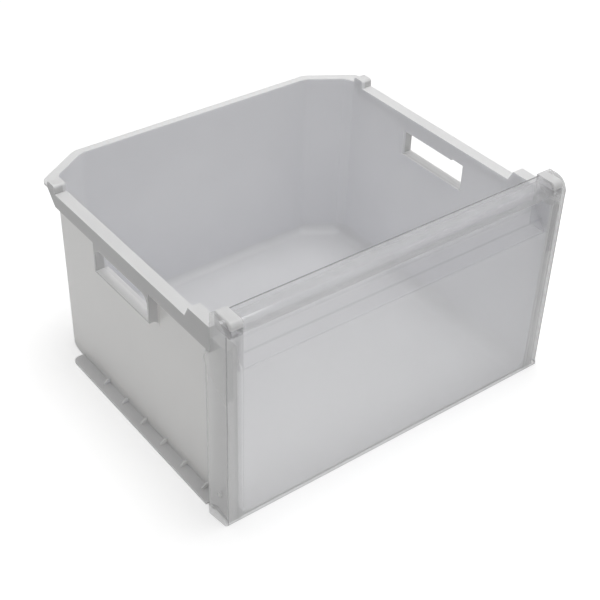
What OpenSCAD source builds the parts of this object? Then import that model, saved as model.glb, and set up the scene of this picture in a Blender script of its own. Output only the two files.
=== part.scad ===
// Freezer drawer: a white moulded tub, open at the front, and a clear moulded front with a grip.
// Millimetres. +X is to the right seen from the front, +Y points to the back, +Z is up.
// The origin is on the floor under the middle of the whole drawer.

/* [Overall] */
// Distance from the front plane to the outer edge of the rear rim
depth = 385; // [370:1:410]
// Width of the clear front
front_w = 435; // [434:0.5:440]
// Height of the grip above the floor
front_h = 255; // [250:1:270]

/* [Tub] */
// Outside width over the side walls
tub_w = 411; // [408:0.5:412]
// Height of the side rims
rim_h = 224.5; // [220:0.5:228]
// Thickness of the walls
wall = 2.5; // [2:0.1:3]
// Thickness of the floor
floor_t = 2.5; // [2:0.1:3.5]
// How much wider the tub is at the rim than at the floor, on each side
draft = 1; // [0.25:0.25:2]
// Inside radius between the floor and a side wall
side_foot_r = 17; // [12:1:22]
// Inside radius between the floor and the rear wall
back_foot_r = 11; // [8:1:16]
// How much larger that radius is under the cut-off rear corners
corner_foot_extra = 3; // [1:0.5:5]
// Inside radius of the upright edges between the walls
upright_r = 28; // [12:1:34]
// Length of a cut-off rear corner across the width
corner_x = 57; // [50:1:62]
// Length of a cut-off rear corner along the depth
corner_y = 36; // [32:0.5:45]

/* [Rim] */
// How far the side rim stands out past the side wall
side_rim = 11.5; // [11:0.5:12]
// How far the rear rim stands out past the rear wall
back_rim = 6.5; // [5:0.5:9]
// How far the corner rim stands out past the corner wall
corner_rim = 7.5; // [5:0.5:9]
// Plan radius of the rim's corners between its sides and the cut-off corners
rim_side_r = 10; // [6:1:12]
// Plan radius of the rim's corners between the cut-off corners and its rear
rim_back_r = 22; // [12:1:26]
// Height of the side rims' skirt
skirt_h = 17; // [14:0.5:20]
// Thickness of the side rims' top and skirt
rim_t = 2.2; // [1.8:0.1:2.5]
// Thickness of the rear and corner rims
back_rim_t = 3; // [2.5:0.1:3.5]
// How far the skirt's slanted rear end leans
skirt_lean = 14; // [8:1:16]
// How much higher the rear rim is than the side rims
back_step = 3.5; // [2:0.5:5]
// Distance from the front plane to the front end of the side rims
rim_y = 28; // [27.5:0.5:31]

/* [Raised rim pieces] */
// Height of the long block at the front end of each side rim
block_h = 12.5; // [10:0.5:16]
// Length of that block
block_len = 42; // [34:1:50]
// Length of the sloped rear end of that block
block_slope = 6.5; // [4:0.5:9]
// Height of the stop at the rear end of each side rim
stop_h = 9.5; // [8:0.5:13]
// Length of that stop
stop_len = 16; // [14:1:18]
// Distance from the front plane to the front face of the stop
stop_y = 322; // [312:1:323]
// Radius of the stop's top edges
stop_r = 3.5; // [3:0.5:5]

/* [Hand slots] */
// Length of a hand slot
slot_len = 102.5; // [95:0.5:115]
// Distance from the front plane to the slot
slot_y = 139; // [130:1:150]
// Height of the slot's lower edge
slot_z = 173; // [165:0.5:178]
// Height of the slot's opening
slot_h = 31.5; // [28:0.5:33]
// Length of the slightly higher front end of the slot
notch_len = 19; // [14:1:24]
// How much higher that end is
notch_h = 2; // [1:0.5:3]
// Thickness of the collar round the slot
collar_t = 2.5; // [2:0.1:3]
// Radius of the blend under the collar
collar_blend = 8.5; // [5:0.5:10]
// Depth of the strip that hangs from the skirt over the slot
strip_h = 5; // [3:0.5:7]
// Radius of the slot's outer top corners
strip_r = 12; // [8:1:14]

/* [Foot rails] */
// How far each foot rail stands out past the side wall
rail_w = 14; // [12.5:0.5:15]
// Distance from the front plane to the rear end of the rail
rail_end = 317; // [305:1:325]
// Plan radius of the rail's rear corner
rail_r = 8; // [5:1:12]
// Number of gussets on each rail
gusset_count = 6; // [4:1:7]
// Distance between gussets
gusset_pitch = 40.1; // [36:0.1:41]
// Distance from the front plane to the first gusset
gusset_y = 55; // [50:0.5:60]
// Height of a gusset above the rail
gusset_h = 5.5; // [4:0.5:8]
// Reach of a gusset out from the wall
gusset_w = 7; // [5:0.5:9]
// Thickness of a gusset
gusset_t = 2; // [1.5:0.1:2.5]

/* [Clear front] */
// Thickness of the clear plastic
clear_t = 3; // [2.5:0.1:3.4]
// How far the side flanges reach back
flange_len = 35; // [33:1:40]
// Thickness of a side flange
flange_t = 2.5; // [2:0.1:3]
// Radius of a side flange's lower rear corner
flange_r = 8; // [5:1:12]
// Height of the bead along the lower edge
bead_h = 3.5; // [2.5:0.5:5]
// How far the bead and the end strips stand proud of the window
bead_t = 0.8; // [0.5:0.1:1.2]
// Height of the lip that turns out along the lower edge of a side flange
turn_h = 3; // [2:0.5:5]
// How far that lip reaches out at its front end
turn_front = 2.7; // [1.5:0.1:4]
// How far that lip reaches out at its widest place
turn_wide = 5.6; // [4:0.1:6.5]
// Distance from the front plane to that widest place
turn_y = 26; // [20:1:28]

/* [Grip] */
// Depth of the grip's flat top, front to back
grip_depth = 24; // [21:0.5:25]
// Radius of the rolled front edge
roll_r = 8; // [6:0.5:9]
// Height of the lip that the fingers pull
lip_h = 15; // [12:0.5:18]
// Distance from the top of the grip down to the fold below the finger space
fold_drop = 59.5; // [54:0.5:62]
// Height of the sloped shelf inside the finger space
shelf_h = 19.5; // [15:0.5:24]
// Depth of that shelf
shelf_depth = 16.5; // [13:0.5:18]

/* [Grip ends] */
// Width of the grip's end, with its closed block and the strip outside the block
cap_w = 19; // [17:0.5:22]
// Depth of that block, front to back
cap_depth = 26.5; // [25:0.5:27]
// Radius of that block's top front edge
cap_r = 5.5; // [4:0.5:8]
// Height of that block's front face, above the gap that it leaves open
cap_face_h = 7.5; // [6:0.5:9]
// Gap between the lip's lower edge and the end strips beside it
lip_gap = 0.5; // [0.5:0.25:2]
// How much higher that block is than the grip
cap_rise = 1; // [0.5:0.25:1.5]
// Width of the strip outside that block
edge_w = 5.5; // [5:0.25:7]
// Radius of that strip's top front edge
edge_r = 16; // [12:0.5:18]
// Width and depth of the groove between that block and that strip
groove = 0.8; // [0.5:0.1:1.2]

/* [Clips] */
// Diameter of the snap pin near the floor
pin_d = 5.4; // [4:0.2:6]
// Height of the snap pin
pin_z = 31; // [25:1:40]
// Distance from the front plane to the snap pin
pin_y = 15.5; // [12:0.5:18]
// Radius of the half-round tab at the rear edge of each side flange
tab_r = 9; // [7:0.5:10]
// How far that tab stands out past the flange
tab_reach = 2.5; // [1.5:0.5:4]
// Height of the middle of that tab
tab_z = 196; // [190:0.5:197]
// Running gap between the tub and the clear front
fit_gap = 0.3; // [0.2:0.05:0.5]

/* [Hidden] */
$fn = 48;

// Reach of the cutting shapes past what they cut
over = 20;
// Depth of a shallow overlap between shapes of one moulding
bite = 0.5;
// Number of flat steps in a rounded upright edge
corner_steps = 2;
// Number of straight pieces in a drawn arc
arc_pieces = 6;
// Length of the slabs that limit the tub
slab_len = 2 * (depth + front_w);

// Places on the tub, measured from the middle plane and from the front plane
wall_x = tub_w / 2;
inner_x = wall_x - wall;
back_y = depth - back_rim;
rim_x = wall_x + side_rim;
tub_top = rim_h + back_step;
skirt_z = rim_h - skirt_h;
stop_back = stop_y + stop_len;
block_top = rim_h + block_h;
stop_top = rim_h + stop_h;

// The cut-off corners: direction of their face, and its distance from the middle of the front plane
corner_angle = atan2(corner_x, corner_y);
corner_far = cos(corner_angle) * rim_x + sin(corner_angle) * (depth - corner_y);
wall_corner_y = (corner_far - corner_rim - cos(corner_angle) * wall_x) / sin(corner_angle);

// Where the tub meets the clear front
front_x = front_w / 2;
tub_y = bead_t + clear_t + fit_gap;
post_x = front_x - flange_t - fit_gap;

// Heights and places on the clear front
cap_x = front_x - cap_w;
grip_top = front_h - cap_rise;
fold_z = front_h - fold_drop;
lip_z = front_h - lip_h;
strip_z = lip_z - lip_gap;
gap_top = front_h - cap_face_h;
edge_x = front_x - edge_w;
window_y = bead_t + clear_t / 2;
flange_top_y = rim_y - fit_gap;

// Turns places measured from the front plane into the drawer's own frame
module from_front() {
    translate([0, -depth / 2, 0]) children();
}

// The same shape on both sides of the middle plane
module both_sides() {
    children();
    mirror([1, 0, 0]) children();
}

// Shapes drawn in X and Z, standing from y0 to y1
module along_y(y0, y1) {
    translate([0, y1, 0]) rotate([90, 0, 0]) linear_extrude(y1 - y0) children();
}

// Shapes drawn in Y and Z, standing from x0 to x1
module along_x(x0, x1) {
    translate([x0, 0, 0]) rotate([90, 0, 90]) linear_extrude(x1 - x0) children();
}

// A rectangle from low to high, whose corners are rounded by the four radii:
// low left, low right, high right, high left
module plate(low, high, radii) {
    corners = [low, [high[0], low[1]], high, [low[0], high[1]]];
    inward = [[1, 1], [-1, 1], [-1, -1], [1, -1]];
    difference() {
        translate(low) square(high - low);
        for (i = [0 : 3])
            if (radii[i] > 0)
                translate(corners[i]) scale(inward[i]) difference() {
                    translate([-bite, -bite]) square(radii[i] + bite);
                    translate([radii[i], radii[i]]) circle(radii[i]);
                }
    }
}

// Everything on the near side of a wall that leans out by draft up to the side rims
// and has a round foot
module wall_outline(reach, z_low, z_high, foot_r) {
    tilt = atan2(draft, rim_h - z_low);
    foot_x = reach - draft - foot_r * (1 - sin(tilt)) / cos(tilt);
    polygon([
        [-slab_len / 2, z_low],
        [foot_x, z_low],
        [foot_x + foot_r * cos(tilt), z_low + foot_r * (1 - sin(tilt))],
        [reach + (z_high - rim_h) * tan(tilt), z_high],
        [-slab_len / 2, z_high]
    ]);
    if (foot_r > 0)
        translate([foot_x, z_low + foot_r]) circle(foot_r);
}

// One slab with such a wall, whose face looks towards the angle turn seen from above
module wall_slab(turn, reach, z_low, z_high, foot_r) {
    rotate([0, 0, turn])
        rotate([90, 0, 0])
        linear_extrude(slab_len, center = true)
        wall_outline(reach, z_low, z_high, foot_r);
}

// Points of an arc round a middle, from one angle to another
function arc(middle, radius, from, to) = [
    for (i = [0 : arc_pieces])
        let (turn = from + (to - from) * i / arc_pieces)
        middle + radius * [cos(turn), sin(turn)]
];

// Middle of the arc that rounds the corner between two walls seen from above. A wall is given by
// the angle that it faces and by its distance, and the arc stays a radius inside both.
function arc_middle(face_0, face_1, radius) = [
    (face_0[1] - radius) * sin(face_1[0]) - (face_1[1] - radius) * sin(face_0[0]),
    (face_1[1] - radius) * cos(face_0[0]) - (face_0[1] - radius) * cos(face_1[0])
] / sin(face_1[0] - face_0[0]);

// The walls from face_0 round to the last one before face_1, with the rounded corner between them
// cut into steps. Each is the angle that it faces, its distance and the radius of its foot.
function round_corner(face_0, face_1, radius) = [
    for (i = [0 : corner_steps - 1])
        let (share = i / corner_steps)
        let (turn = face_0[0] + (face_1[0] - face_0[0]) * share)
        let (middle = arc_middle(face_0, face_1, radius))
        [
            turn,
            middle * [cos(turn), sin(turn)] + radius,
            face_0[2] + (face_1[2] - face_0[2]) * share
        ]
];

// What lies inside all the walls in the list, from the first one on
module inside_walls(faces, z_low, z_high, first = 0) {
    intersection() {
        wall_slab(faces[first][0], faces[first][1], z_low, z_high, faces[first][2]);
        if (first + 1 < len(faces))
            inside_walls(faces, z_low, z_high, first + 1);
    }
}

// A trough with two side walls, a rear wall and two cut-off rear corners, open at the front
module trough(inset, z_low, z_high, side_r, back_r) {
    radius = upright_r + wall - inset;
    side_face = [0, wall_x - inset, side_r];
    corner_face = [corner_angle, corner_far - corner_rim - inset, back_r + corner_foot_extra];
    back_face = [90, back_y - inset, back_r];
    right_faces = concat(
        round_corner(side_face, corner_face, radius),
        round_corner(corner_face, back_face, radius)
    );
    left_faces = [for (face = right_faces) [180 - face[0], face[1], face[2]]];
    inside_walls(concat(right_faces, [back_face], left_faces), z_low, z_high);
}

// Side view of a side rim with its block, its stop and its slanted rear end
module side_rim_outline(inset, z_low) {
    block_end = rim_y + block_len - inset;
    stop_middle_z = stop_top - stop_r;
    polygon(concat(
        [
            [rim_y + inset, z_low],
            [rim_y + inset, block_top - inset],
            [block_end - block_slope, block_top - inset],
            [block_end, rim_h - inset],
            [stop_y + inset, rim_h - inset]
        ],
        arc([stop_y + stop_r, stop_middle_z], stop_r - inset, 180, 90),
        arc([stop_back - stop_r, stop_middle_z], stop_r - inset, 90, 0),
        [
            [stop_back - inset, tub_top - back_rim_t],
            [stop_back - skirt_lean - inset, z_low]
        ]
    ));
}

// One side rim: an upturned channel between the wall and its skirt
module side_rim() {
    difference() {
        along_x(inner_x - draft, rim_x) side_rim_outline(0, skirt_z);
        along_x(wall_x, rim_x - rim_t) side_rim_outline(rim_t, skirt_z - bite);
    }
}

// Points of the arc that rounds the corner between two faces of the rim, seen from above
function rim_corner(face_0, face_1, radius) =
    arc(arc_middle(face_0, face_1, radius), radius, face_0[0], face_1[0]);

// The flat rim of the rear wall and of the cut-off corners
module back_rim_plate() {
    corner_face = [corner_angle, corner_far];
    both_sides() translate([0, 0, tub_top - back_rim_t]) linear_extrude(back_rim_t) polygon(concat(
        [[-bite, stop_back - bite], [rim_x, stop_back - bite]],
        rim_corner([0, rim_x], corner_face, rim_side_r),
        rim_corner(corner_face, [90, depth], rim_back_r),
        [[-bite, depth]]
    ));
}

// The walls and the floor as one block: up to the side rims, and higher behind the stops
module outer_block() {
    difference() {
        trough(0, 0, tub_top, 0, back_foot_r + wall);
        translate([-front_w, -over, rim_h]) cube([2 * front_w, over + stop_back - bite, front_h]);
    }
}

// The space below the round inside edge of the floor, so that the wall there is no thicker
module foot_channel() {
    difference() {
        translate([inner_x - draft - side_foot_r - wall, tub_y + wall, -bite])
            cube([side_foot_r + wall, wall_corner_y - tub_y - 2 * wall, side_foot_r]);
        wall_slab(0, wall_x, 0, rim_h, side_foot_r + wall);
    }
}

// Collar that carries a hand slot from the wall out to the skirt
module collar() {
    shelf_z = slot_z - collar_t;
    translate([inner_x, slot_y - collar_t, shelf_z])
        cube([rim_x - inner_x, slot_len + 2 * collar_t, rim_h - rim_t - shelf_z]);
    along_y(slot_y - collar_t, slot_y + slot_len + collar_t) difference() {
        translate([inner_x, shelf_z - collar_blend])
            square([wall + collar_blend, collar_blend + bite]);
        translate([wall_x + collar_blend, shelf_z - collar_blend]) circle(collar_blend);
    }
}

// The hole of a hand slot, the room between the collar's ends, and its mouth under the skirt
module hand_slot() {
    slot_back = slot_y + slot_len;
    translate([inner_x - over, slot_y, slot_z]) cube([over + wall + bite, slot_len, slot_h]);
    translate([inner_x - over, slot_y, slot_z]) cube([over + wall + bite, notch_len, slot_h + notch_h]);
    translate([wall_x, slot_y, slot_z])
        cube([side_rim - rim_t, slot_len, rim_h - rim_t - slot_z]);
    along_x(wall_x, rim_x + over)
        plate([slot_y, slot_z], [slot_back, skirt_z - strip_h], [0, 0, strip_r, strip_r]);
}

// Foot rail along the bottom of one side, with its gussets
module foot_rail() {
    linear_extrude(floor_t)
        plate([inner_x - over, flange_len + tab_reach], [wall_x + rail_w, rail_end], [0, 0, rail_r, 0]);
    for (i = [0 : gusset_count - 1])
        along_y(gusset_y + i * gusset_pitch, gusset_y + i * gusset_pitch + gusset_t) polygon([
            [inner_x, floor_t - bite],
            [wall_x + gusset_w, floor_t - bite],
            [wall_x + gusset_w, floor_t + gusset_h / 3],
            [wall_x + gusset_w / 3, floor_t + gusset_h],
            [inner_x, floor_t + gusset_h]
        ]);
}

// Flange turned out at the front edge of a side wall, which the clear front slides over
module front_post() {
    reach = post_x - inner_x;
    translate([inner_x, tub_y, 0]) cube([reach, wall, rim_h]);
    translate([inner_x, tub_y, rim_h - rim_t]) cube([reach, rim_y + bite - tub_y, rim_t]);
    translate([inner_x, tub_y, 0]) cube([reach, flange_len - tub_y, floor_t]);
    translate([inner_x, pin_y, pin_z]) rotate([0, 90, 0]) cylinder(h = reach, d = pin_d + 2 * wall);
    translate([inner_x, pin_y, pin_z]) rotate([0, 90, 0]) cylinder(h = front_x - inner_x, d = pin_d);
}

// Everything behind the tub's open front
module behind_front() {
    translate([-front_w, tub_y, -over]) cube([2 * front_w, 2 * depth, front_h + 2 * over]);
}

module tub() {
    color("whitesmoke") from_front() difference() {
        union() {
            intersection() {
                outer_block();
                behind_front();
            }
            back_rim_plate();
            both_sides() {
                side_rim();
                collar();
                foot_rail();
                front_post();
            }
        }
        trough(wall, floor_t, front_h, side_foot_r, back_foot_r);
        both_sides() {
            hand_slot();
            foot_channel();
        }
    }
}

// Straight run of the clear sheet between two points of its middle line, with round ends
module sheet_run(p, q) {
    run = q - p;
    translate(p) rotate(atan2(run[1], run[0])) translate([0, -clear_t / 2]) square([norm(run), clear_t]);
    translate(p) circle(d = clear_t);
    translate(q) circle(d = clear_t);
}

// Section of the window and the grip: up the window, back over the shelf, up, forward and down the lip
module grip_section() {
    fold = [window_y, fold_z];
    knee = [window_y + shelf_depth, fold_z + shelf_h];
    top_back = [grip_depth - clear_t / 2, grip_top - clear_t / 2];
    top_front = [roll_r, grip_top - clear_t / 2];
    translate([bead_t, 0]) square([clear_t, fold_z]);
    translate([0, 0]) square([clear_t, bead_h]);
    sheet_run(fold, knee);
    sheet_run(knee, top_back);
    sheet_run(top_front, top_back);
    translate(top_back) translate([-clear_t / 2, 0]) square([clear_t, clear_t / 2]);
    intersection() {
        difference() {
            translate([roll_r, grip_top - roll_r]) circle(roll_r);
            translate([roll_r, grip_top - roll_r]) circle(roll_r - clear_t);
        }
        translate([0, grip_top - roll_r]) square(roll_r);
    }
    sheet_run([clear_t / 2, grip_top - roll_r], [clear_t / 2, lip_z + clear_t / 2]);
}

// Side view of the block or the strip at an end of the grip
module cap_outline(inset, radius) {
    plate([inset, fold_z - clear_t], [cap_depth, front_h - inset], [0, 0, 0, radius - inset]);
}

// The bent sheet with that side view, open below and behind
module cap_sheet(radius) {
    difference() {
        cap_outline(0, radius);
        cap_outline(clear_t, radius);
    }
}

// Side view of a side flange
module flange_outline() {
    plate([0, 0], [flange_len, skirt_z - 2 * fit_gap], [0, flange_r, 0, 0]);
    plate([0, fold_z], [flange_top_y, front_h - block_h], [0, 0, 0, 0]);
    intersection() {
        translate([flange_len + tab_reach - tab_r, tab_z]) circle(tab_r);
        translate([flange_len - tab_r, tab_z - tab_r]) square(2 * tab_r);
    }
}

// Lip that turns out along the lower edge of a side flange
module turned_edge() {
    linear_extrude(turn_h) polygon([
        [front_x - bite, 0],
        [front_x + turn_front / 2, 0],
        [front_x + turn_front, turn_front / 2],
        [front_x + turn_wide, turn_y],
        [front_x + bite, flange_len],
        [front_x - bite, flange_len]
    ]);
}

// One end of the clear front: the end strip, the block, the strip outside it and the side flange
module panel_end() {
    difference() {
        union() {
            translate([cap_x, 0, 0]) cube([cap_w, clear_t, lip_z]);
            along_x(cap_x, edge_x) cap_sheet(cap_r);
            along_x(cap_x, cap_x + flange_t) cap_outline(0, cap_r);
            along_x(edge_x - flange_t, edge_x)
                plate([0, strip_z - clear_t], [cap_depth, front_h], [0, 0, 0, cap_r]);
            along_x(edge_x - bite, front_x) cap_sheet(edge_r);
            along_x(front_x - flange_t, front_x) {
                cap_outline(0, edge_r);
                flange_outline();
            }
            turned_edge();
        }
        translate([cap_x - over, -over, strip_z])
            cube([over + cap_w - edge_w, over + clear_t, gap_top - strip_z]);
        along_x(edge_x - groove, edge_x) difference() {
            plate([-over, gap_top - bite], [cap_depth + over, front_h + over], [0, 0, 0, 0]);
            cap_outline(groove, cap_r);
        }
        translate([front_x, pin_y, pin_z]) rotate([0, 90, 0])
            cylinder(h = 2 * over, d = pin_d + 2 * fit_gap, center = true);
    }
}

module front_panel() {
    color("lightcyan", 0.5) from_front() {
        along_x(-cap_x - bite, cap_x + bite) grip_section();
        both_sides() panel_end();
    }
}

tub();
front_panel();
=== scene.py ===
"""The looks of the freezer drawer: camera, light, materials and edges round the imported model."""

from math import radians

import bpy
from mathutils import Euler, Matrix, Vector


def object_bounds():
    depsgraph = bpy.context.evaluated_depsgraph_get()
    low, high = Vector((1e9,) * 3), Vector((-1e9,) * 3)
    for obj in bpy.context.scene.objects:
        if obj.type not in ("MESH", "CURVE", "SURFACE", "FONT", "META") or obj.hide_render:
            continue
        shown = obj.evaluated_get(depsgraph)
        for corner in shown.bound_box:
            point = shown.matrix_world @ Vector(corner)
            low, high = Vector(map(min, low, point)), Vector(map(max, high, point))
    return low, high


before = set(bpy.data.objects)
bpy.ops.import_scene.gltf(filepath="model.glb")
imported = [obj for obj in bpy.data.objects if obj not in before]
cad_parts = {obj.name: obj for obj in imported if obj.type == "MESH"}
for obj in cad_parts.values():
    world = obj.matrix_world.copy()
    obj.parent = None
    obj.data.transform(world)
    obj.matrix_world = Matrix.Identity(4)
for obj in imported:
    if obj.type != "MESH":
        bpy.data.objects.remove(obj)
cad_low, cad_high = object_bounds()

# The camera of the photograph
CAMERA_PLACE = (-0.6980, -0.9089, 0.9468)
CAMERA_AZIMUTH = 38.14
CAMERA_ELEVATION = 37.41
CAMERA_ROLL = 1.89
CAMERA_LENS = 75.09
SENSOR_WIDTH = 36.0

# Edges of the mouldings
WELD_DISTANCE = 0.00002
TUB_EDGE = 0.0008
PANEL_EDGE = 0.0006
EDGE_ANGLE = 25

# Light
SKY_TOP = 0.46
SKY_RIM = 0.38
BACKDROP_GREY = 0.95
FLOOR_GREY = 0.85
FLOOR_GLOW = 0.45
LAMP_POWER = 19

# The tub's plastic, with painted light and shade: inside faces painted lighter and bluer than the
# warmer outside faces and painted darker towards the foot, painted shade on the tub floor and the
# left rim, painted light on the right rim, the front posts and the slot ledges, and painted shade
# on the skirt and round the hand slots, where no light from inside passes through it
OUTSIDE_COLOUR = (0.800, 0.796, 0.785, 1)
INSIDE_LIT_COLOUR = (0.840, 0.842, 0.862, 1)
INSIDE_FOOT_SHADE_COLOUR = (0.775, 0.777, 0.797, 1)
TUB_FLOOR_SHADE_COLOUR = (0.750, 0.752, 0.765, 1)
RIM_LEFT_SHADE_COLOUR = (0.77, 0.77, 0.77, 1)
RIM_RIGHT_LIT_COLOUR = (0.84, 0.84, 0.84, 1)
POST_LIT_COLOUR = (0.97, 0.97, 0.97, 1)
LEDGE_LIT_COLOUR = (0.93, 0.93, 0.93, 1)
SLOT_SHADE_COLOUR = (0.68, 0.68, 0.68, 1)
SKIRT_SHADE_COLOUR = (0.53, 0.53, 0.53, 1)
SKIRT_INSIDE = 0.2155
SLOT_INSIDE = 0.2065
SLOT_FOOT = 0.16
RIM_FOOT = 0.195
POST_FACE = -0.1875

# Clear plastic: its panel's front plane, the folds of the grip in side view and its rear top edge, where painted
# shade lines run, the band of painted shade on the lip, and its closed ends and end strips, where painted shade
# lies
PANEL_FRONT = -0.1925
GRIP_FOLDS = ((0.0010, 0.1961, 0.0014), (0.0102, 0.2071, 0.0020))
GRIP_EDGE = (0.0237, 0.2537)
LIP_MIDDLE = (0.2425, 0.2455)
CAP_INSIDE = 0.1985
CAP_OUTSIDE = 0.2120
CAP_FOOT = 0.2475
STRIP_INSIDE = 0.2012
POST_INSIDE = 0.2068
OUTER_FACE = 0.2175


def make_camera():
    data = bpy.data.cameras.new("camera")
    data.sensor_width = SENSOR_WIDTH
    data.lens = CAMERA_LENS
    camera = bpy.data.objects.new("camera", data)
    turn = Euler((radians(90 - CAMERA_ELEVATION), 0, -radians(CAMERA_AZIMUTH))).to_matrix()
    roll = Euler((0, 0, radians(CAMERA_ROLL))).to_matrix()
    camera.location = CAMERA_PLACE
    camera.rotation_euler = (turn @ roll).to_euler()
    bpy.context.scene.collection.objects.link(camera)
    bpy.context.scene.camera = camera


class Nodes:
    """Short names for building a node tree."""

    def __init__(self, tree):
        self.tree = tree

    def add(self, kind, **inputs):
        node = self.tree.nodes.new("ShaderNode" + kind)
        for name, value in inputs.items():
            self.set(node.inputs[name.replace("_", " ")], value)
        return node

    def set(self, socket, value):
        if isinstance(value, bpy.types.NodeSocket):
            self.tree.links.new(value, socket)
        else:
            socket.default_value = value

    def math(self, operation, first, second=None):
        node = self.tree.nodes.new("ShaderNodeMath")
        node.operation = operation
        self.set(node.inputs[0], first)
        if second is not None:
            self.set(node.inputs[1], second)
        return node.outputs[0]

    def ramp(self, value, low, high, out_low=0.0, out_high=1.0):
        node = self.add("MapRange")
        node.interpolation_type = "SMOOTHSTEP"
        self.set(node.inputs["Value"], value)
        self.set(node.inputs["From Min"], low)
        self.set(node.inputs["From Max"], high)
        self.set(node.inputs["To Min"], out_low)
        self.set(node.inputs["To Max"], out_high)
        return node.outputs["Result"]

    def blend(self, share, first, second):
        node = self.add("Mix")
        node.data_type = "RGBA"
        self.set(node.inputs[0], share)
        self.set(node.inputs[6], first)
        self.set(node.inputs[7], second)
        return node.outputs[2]

    def seen(self):
        """1 for what the camera sees itself, in a reflection or through clear plastic."""
        path = self.add("LightPath")
        direct = self.math("MAXIMUM", path.outputs["Is Camera Ray"], path.outputs["Is Glossy Ray"])
        return self.math("MAXIMUM", direct, path.outputs["Is Transmission Ray"])


def new_material(name):
    material = bpy.data.materials.new(name)
    material.use_nodes = True
    tree = material.node_tree
    return material, Nodes(tree), tree.nodes["Principled BSDF"], tree.nodes["Material Output"]


def grey(value, blue=0.0):
    return (value, value, value + blue, 1)


def tub_plastic():
    material, n, shader, output = new_material("tub_plastic")
    place = n.add("SeparateXYZ", Vector=n.add("NewGeometry").outputs["Position"])
    facing = n.add("SeparateXYZ", Vector=n.add("NewGeometry").outputs["Normal"])
    height = place.outputs["Z"]
    aside = n.math("ABSOLUTE", place.outputs["X"])
    up = n.ramp(facing.outputs["Z"], 0.2, 0.8)
    not_up = n.math("SUBTRACT", 1.0, up)
    outward = n.math("ADD", n.math("MULTIPLY", place.outputs["X"], facing.outputs["X"]),
                     n.math("MULTIPLY", place.outputs["Y"], facing.outputs["Y"]))
    by_slot = n.math("MULTIPLY", n.ramp(aside, SLOT_INSIDE, SLOT_INSIDE + 0.001),
                     n.ramp(height, SLOT_FOOT, SLOT_FOOT + 0.004))
    by_skirt = n.math("MULTIPLY", n.ramp(aside, SKIRT_INSIDE, SKIRT_INSIDE + 0.001),
                      n.ramp(height, SLOT_FOOT, SLOT_FOOT + 0.004))

    # Painted light on the inside faces, lighter and bluer than the outside ones, with painted shade growing towards
    # the foot
    inside = n.blend(n.ramp(height, 0.01, 0.17), INSIDE_FOOT_SHADE_COLOUR, INSIDE_LIT_COLOUR)
    colour = n.blend(n.ramp(outward, -0.05, 0.05), inside, OUTSIDE_COLOUR)
    # Painted shade on the tub's floor
    in_tub = n.math("MULTIPLY", n.ramp(aside, 0.203, 0.205, 1.0, 0.0), n.ramp(height, 0.02, 0.03, 1.0, 0.0))
    rising = n.ramp(facing.outputs["Z"], 0.05, 0.2)
    colour = n.blend(n.math("MULTIPLY", rising, in_tub), colour, TUB_FLOOR_SHADE_COLOUR)
    # Painted light on the front posts, which get light only through the clear panel
    in_front = n.ramp(place.outputs["Y"], POST_FACE, POST_FACE + 0.0005, 1.0, 0.0)
    colour = n.blend(n.math("MULTIPLY", in_front, not_up), colour, POST_LIT_COLOUR)
    # Painted light on the slot ledges, which lie in the shade of the skirt and rim
    colour = n.blend(n.math("MULTIPLY", up, by_slot), colour, LEDGE_LIT_COLOUR)
    # Painted shade on the left rim and painted light on the right rim
    rim = n.blend(n.ramp(place.outputs["X"], -0.25, 0.0), RIM_LEFT_SHADE_COLOUR, RIM_RIGHT_LIT_COLOUR)
    colour = n.blend(n.math("MULTIPLY", up, n.ramp(height, RIM_FOOT, RIM_FOOT + 0.004)), colour, rim)
    # Painted shade on the faces round the hand slots
    colour = n.blend(n.math("MULTIPLY", not_up, by_slot), colour, SLOT_SHADE_COLOUR)
    # Painted shade on the skirt, where no light from inside passes through it
    colour = n.blend(n.math("MULTIPLY", not_up, by_skirt), colour, SKIRT_SHADE_COLOUR)

    cloud = n.add("TexNoise", Scale=9.0, Detail=2.0)
    n.set(cloud.inputs["Vector"], n.add("NewGeometry").outputs["Position"])
    toned = n.add("VectorMath")
    toned.operation = "SCALE"
    n.set(toned.inputs[0], colour)
    n.set(toned.inputs["Scale"], n.ramp(cloud.outputs["Fac"], 0.3, 0.7, 0.985, 1.015))
    n.set(shader.inputs["Base Color"], toned.outputs["Vector"])
    n.set(shader.inputs["Roughness"], n.ramp(cloud.outputs["Fac"], 0.3, 0.7, 0.35, 0.41))
    grain = n.add("TexNoise", Scale=1200.0, Detail=1.0)
    n.set(grain.inputs["Vector"], n.add("NewGeometry").outputs["Position"])
    bump = n.add("Bump", Strength=0.08, Distance=0.0001, Height=grain.outputs["Fac"])
    n.set(shader.inputs["Normal"], bump.outputs["Normal"])
    shader.inputs["Subsurface Weight"].default_value = 1.0
    shader.inputs["Subsurface Radius"].default_value = (1, 1, 1)
    shader.inputs["Subsurface Scale"].default_value = 0.004
    return material


def near_line(n, first, second, middle, width):
    """1 where both coordinates are those of the middle, falling to 0 at a distance of width."""
    ways = [n.math("SUBTRACT", value, at) for value, at in zip((first, second), middle)]
    squares = [n.math("MULTIPLY", way, way) for way in ways]
    return n.ramp(n.math("SQRT", n.math("ADD", *squares)), 0.0, width, 1.0, 0.0)


def band(n, value, low, high, soft):
    """1 between low and high, falling to 0 over the soft distance outside them."""
    rise = n.ramp(value, low - soft, low)
    return n.math("MULTIPLY", rise, n.ramp(value, high, high + soft, 1.0, 0.0))


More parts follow.
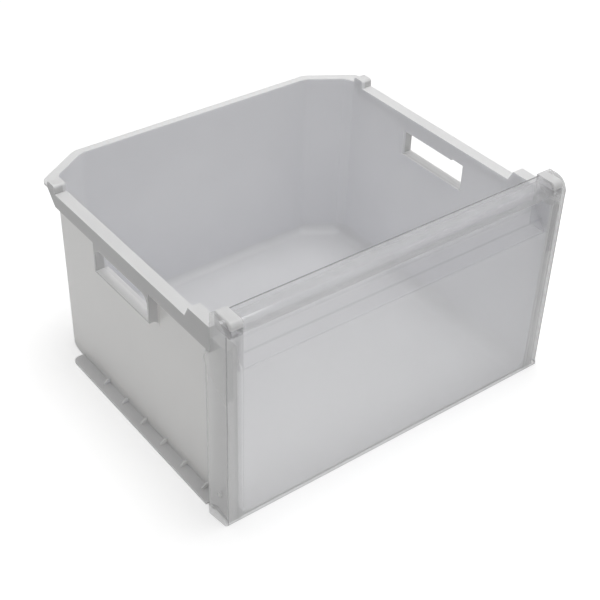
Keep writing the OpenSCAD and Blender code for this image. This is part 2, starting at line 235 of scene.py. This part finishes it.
def clear_plastic():
    material, n, glass, output = new_material("clear_plastic")
    surface = n.add("NewGeometry")
    place = n.add("SeparateXYZ", Vector=surface.outputs["Position"])
    aside = n.math("ABSOLUTE", place.outputs["X"])
    depth = n.math("SUBTRACT", place.outputs["Y"], PANEL_FRONT)
    height = place.outputs["Z"]
    below_grip = n.ramp(height, 0.2380, 0.2395, 1.0, 0.0)
    end = n.math("MULTIPLY", n.ramp(aside, CAP_INSIDE, CAP_INSIDE + 0.0004), below_grip)
    flat = n.math("MAXIMUM", end, n.ramp(height, 0.1925, 0.1935, 1.0, 0.0))
    normal = n.blend(flat, surface.outputs["Normal"], surface.outputs["True Normal"])
    edge = n.add("LayerWeight", Blend=0.5, Normal=normal).outputs["Facing"]

    inner = n.ramp(aside, CAP_INSIDE, CAP_INSIDE + 0.0004, 1.0, 0.0)
    in_cap = band(n, aside, CAP_INSIDE, CAP_OUTSIDE, 0.0004)
    cap = n.math("MULTIPLY", in_cap, n.ramp(height, CAP_FOOT - 0.001, CAP_FOOT))
    # Painted shade in the gap under the end caps
    cap_gap_shade = n.math("MULTIPLY", in_cap, band(n, height, 0.2398, CAP_FOOT - 0.001, 0.0005))
    # Painted shade where rays leave through the outer side faces, for light lost to internal reflection
    outer = n.ramp(aside, OUTER_FACE - 0.0005, OUTER_FACE - 0.0002)
    leaving_shade = n.math("MULTIPLY", surface.outputs["Backfacing"], outer)
    # Painted shade through the end strips and over the posts, standing for the shaded gap behind them
    strip = n.ramp(aside, STRIP_INSIDE, STRIP_INSIDE + 0.0006)
    post = n.ramp(aside, POST_INSIDE, POST_INSIDE + 0.0006)
    # Painted shade band on the grip's lip
    lip_shade = n.math("MULTIPLY", inner, band(n, height, *LIP_MIDDLE, 0.004))

    # Painted shade at grazing edges and along the grip's folds
    folds = [near_line(n, depth, height, fold[:2], fold[2]) for fold in GRIP_FOLDS]
    fold_shade_lines = n.math("MULTIPLY", inner, n.math("MULTIPLY", 0.24, n.math("MAXIMUM", *folds)))
    shade_at_edges_and_folds = n.math("MAXIMUM", n.ramp(edge, 0.55, 1.0), fold_shade_lines)
    # Painted dark lines at the grip's rear top edge, along the foot and at the outer front corners, for light lost
    # to internal reflection
    dark = n.math("MULTIPLY", inner, near_line(n, depth, height, GRIP_EDGE, 0.0016))
    dark = n.math("MAXIMUM", dark, n.ramp(height, 0.0004, 0.0012, 0.6, 0.0))
    outline = near_line(n, aside, depth, (cad_high[0] - 0.0056, 0.0), 0.0014)
    dark = n.math("MAXIMUM", dark, n.math("MULTIPLY", outline, 0.6))

    # The tint through the plastic, with painted shade laid on it
    colour = n.blend(strip, grey(0.975, 0.005), grey(0.84))
    colour = n.blend(post, colour, grey(0.935))
    colour = n.blend(outer, colour, grey(0.97))
    colour = n.blend(leaving_shade, colour, grey(0.58))
    colour = n.blend(lip_shade, colour, grey(0.87))
    colour = n.blend(cap_gap_shade, colour, grey(0.70))
    colour = n.blend(shade_at_edges_and_folds, colour, grey(0.42, 0.01))
    colour = n.blend(dark, colour, grey(0.12))

    glass.inputs["Base Color"].default_value = (0.95, 0.955, 0.96, 1)
    glass.inputs["Roughness"].default_value = 0.04
    glass.inputs["IOR"].default_value = 1.35
    glass.inputs["Transmission Weight"].default_value = 1.0
    n.set(glass.inputs["Normal"], normal)
    straight = n.add("BsdfTransparent", Color=colour)
    cloud = n.add("TexNoise", Scale=14.0, Detail=2.0, Vector=surface.outputs["Position"])
    polish = n.ramp(cloud.outputs["Fac"], 0.3, 0.7, 0.06, 0.11)
    gloss = n.add("BsdfGlossy", Roughness=polish, Normal=normal)
    sheet = n.add("MixShader")
    # Painted reflection: more gloss towards the left and towards the foot, below the grip and on the outer faces,
    # added to the share that rises at grazing angles
    sheen_zone = n.math("MAXIMUM", below_grip, outer)
    painted_left_sheen = n.math("MULTIPLY", n.ramp(sheen_zone, 0.0, 1.0, 0.05, 0.14), n.ramp(place.outputs["X"], -0.2, 0.15, 1.0, 0.0))
    base = n.math("ADD", n.math("ADD", painted_left_sheen, 0.025), n.ramp(height, 0.0, 0.2, 0.13, 0.0))
    gleam = n.math("ADD", base, n.math("MULTIPLY", 0.9, n.math("POWER", edge, 5.0)))
    n.set(sheet.inputs[0], gleam)
    n.set(sheet.inputs[1], straight.outputs[0])
    n.set(sheet.inputs[2], gloss.outputs[0])
    through = n.add("MixShader")
    through.inputs[0].default_value = 0.08
    n.set(through.inputs[1], sheet.outputs[0])
    n.set(through.inputs[2], glass.outputs[0])
    milk = n.blend(cap, grey(0.86, 0.008), grey(0.90))
    haze = n.add("MixShader")
    n.set(haze.inputs[0], n.math("SUBTRACT", 0.4, n.math("MULTIPLY", cap, 0.3)))
    n.set(haze.inputs[1], n.add("BsdfDiffuse", Color=milk).outputs[0])
    n.set(haze.inputs[2], n.add("BsdfTranslucent", Color=milk).outputs[0])
    mixed = n.add("MixShader")
    veil = n.ramp(edge, 0.0, 1.0, 0.11, 0.32)
    n.set(mixed.inputs[0], n.math("MAXIMUM", veil, n.math("MULTIPLY", cap, 0.75)))
    n.set(mixed.inputs[1], through.outputs[0])
    n.set(mixed.inputs[2], haze.outputs[0])
    n.set(output.inputs["Surface"], mixed.outputs[0])
    return material


def round_edges(node, width):
    weld = node.modifiers.new("weld", "WELD")
    weld.merge_threshold = WELD_DISTANCE
    bevel = node.modifiers.new("round_edges", "BEVEL")
    bevel.width = width
    bevel.segments = 2
    bevel.limit_method = "ANGLE"
    bevel.angle_limit = radians(EDGE_ANGLE)
    bevel.harden_normals = False
    bevel.use_clamp_overlap = True
    weighted = node.modifiers.new("flat_faces", "WEIGHTED_NORMAL")
    weighted.mode = "FACE_AREA"
    weighted.weight = 50


def dress(name, material, edge):
    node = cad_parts[name]
    for slot in node.material_slots:
        slot.material = material
    round_edges(node, edge)
    node.data.shade_smooth()
    return node


def make_world():
    world = bpy.data.worlds.new("studio")
    bpy.context.scene.world = world
    world.use_nodes = True
    n = Nodes(world.node_tree)
    background = world.node_tree.nodes["Background"]
    background.inputs["Color"].default_value = (1, 1, 1, 1)
    way = n.add("SeparateXYZ", Vector=n.add("TexCoord").outputs["Generated"])
    sky = n.ramp(way.outputs["Z"], 0.0, 1.0, SKY_RIM, SKY_TOP)
    strength = n.add("MapRange")
    n.set(strength.inputs["Value"], n.seen())
    n.set(strength.inputs["To Min"], sky)
    n.set(strength.inputs["To Max"], BACKDROP_GREY)
    n.set(background.inputs["Strength"], strength.outputs["Result"])


def make_floor():
    mesh = bpy.data.meshes.new("floor")
    half = 4.0
    corners = [(-half, -half, 0), (half, -half, 0), (half, half, 0), (-half, half, 0)]
    mesh.from_pydata(corners, [], [(0, 1, 2, 3)])
    floor = bpy.data.objects.new("floor", mesh)
    bpy.context.scene.collection.objects.link(floor)
    material, n, shader, output = new_material("floor")
    shader.inputs["Base Color"].default_value = grey(FLOOR_GREY)
    shader.inputs["Roughness"].default_value = 0.9
    shader.inputs["Emission Color"].default_value = (1, 1, 1, 1)
    n.set(shader.inputs["Emission Strength"], n.math("MULTIPLY", n.seen(), FLOOR_GLOW))
    floor.data.materials.append(material)


def make_lamp(name, place, aim, size, power):
    data = bpy.data.lights.new(name, "AREA")
    data.shape = "DISK"
    data.size = size
    data.energy = power
    lamp = bpy.data.objects.new(name, data)
    lamp.location = place
    lamp.rotation_euler = (Vector(aim) - Vector(place)).to_track_quat("-Z", "Y").to_euler()
    bpy.context.scene.collection.objects.link(lamp)


make_camera()
make_world()
make_floor()
make_lamp("top_lamp", (0.2, 0.0, 2.2), (0, 0, 0.1), 1.3, LAMP_POWER)
dress("tub", tub_plastic(), TUB_EDGE)
dress("front_panel", clear_plastic(), PANEL_EDGE)
bpy.context.scene.view_settings.view_transform = "Standard"
